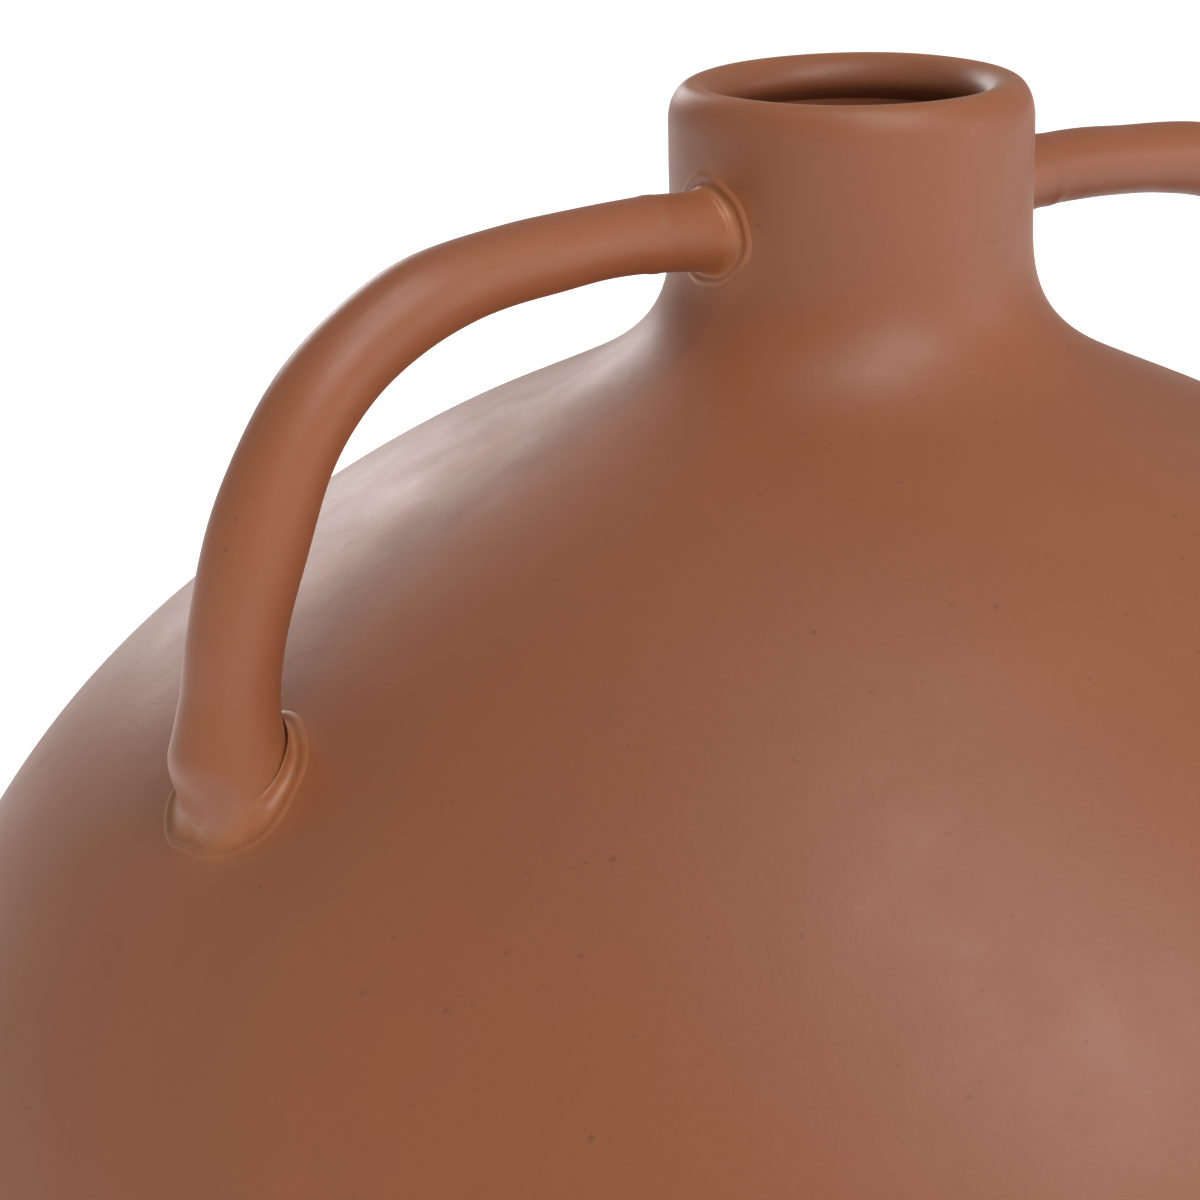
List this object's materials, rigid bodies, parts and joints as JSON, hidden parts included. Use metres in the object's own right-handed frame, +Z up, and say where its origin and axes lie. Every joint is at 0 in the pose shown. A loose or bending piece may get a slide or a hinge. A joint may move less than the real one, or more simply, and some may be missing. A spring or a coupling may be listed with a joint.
{
  "type": "vase",
  "caption": "Round-bodied terracotta vase with a short narrow neck, a rolled lip, a low foot ring and two arched rod handles from neck to shoulder.",
  "frame": {"origin": "centre of the foot ring's resting face", "axes": "+Z up along the vessel's axis; the handles lie along +X and -X"},
  "size_m": [0.3276, 0.3276, 0.357],
  "materials": {
    "matt_glaze": "satin-matt terracotta glaze",
    "handle_glaze": "satin-matt terracotta glaze",
    "bead_glaze": "thin satin-matt glaze over slip",
    "bare_foot_clay": "bare fired clay"
  },
  "bodies": {
    "root": {"foot_ring": "bare_foot_clay", "floor_disc": "bare_foot_clay", "lower_bowl": "matt_glaze", "upper_bowl": "matt_glaze", "neck_collar": "matt_glaze", "rim_roll": "matt_glaze", "handle_left": "handle_glaze", "handle_right": "handle_glaze", "slip_bead_neck_left": "bead_glaze", "slip_bead_neck_right": "bead_glaze", "slip_bead_shoulder_left": "bead_glaze", "slip_bead_shoulder_right": "bead_glaze"}
  },
  "joints": []
}
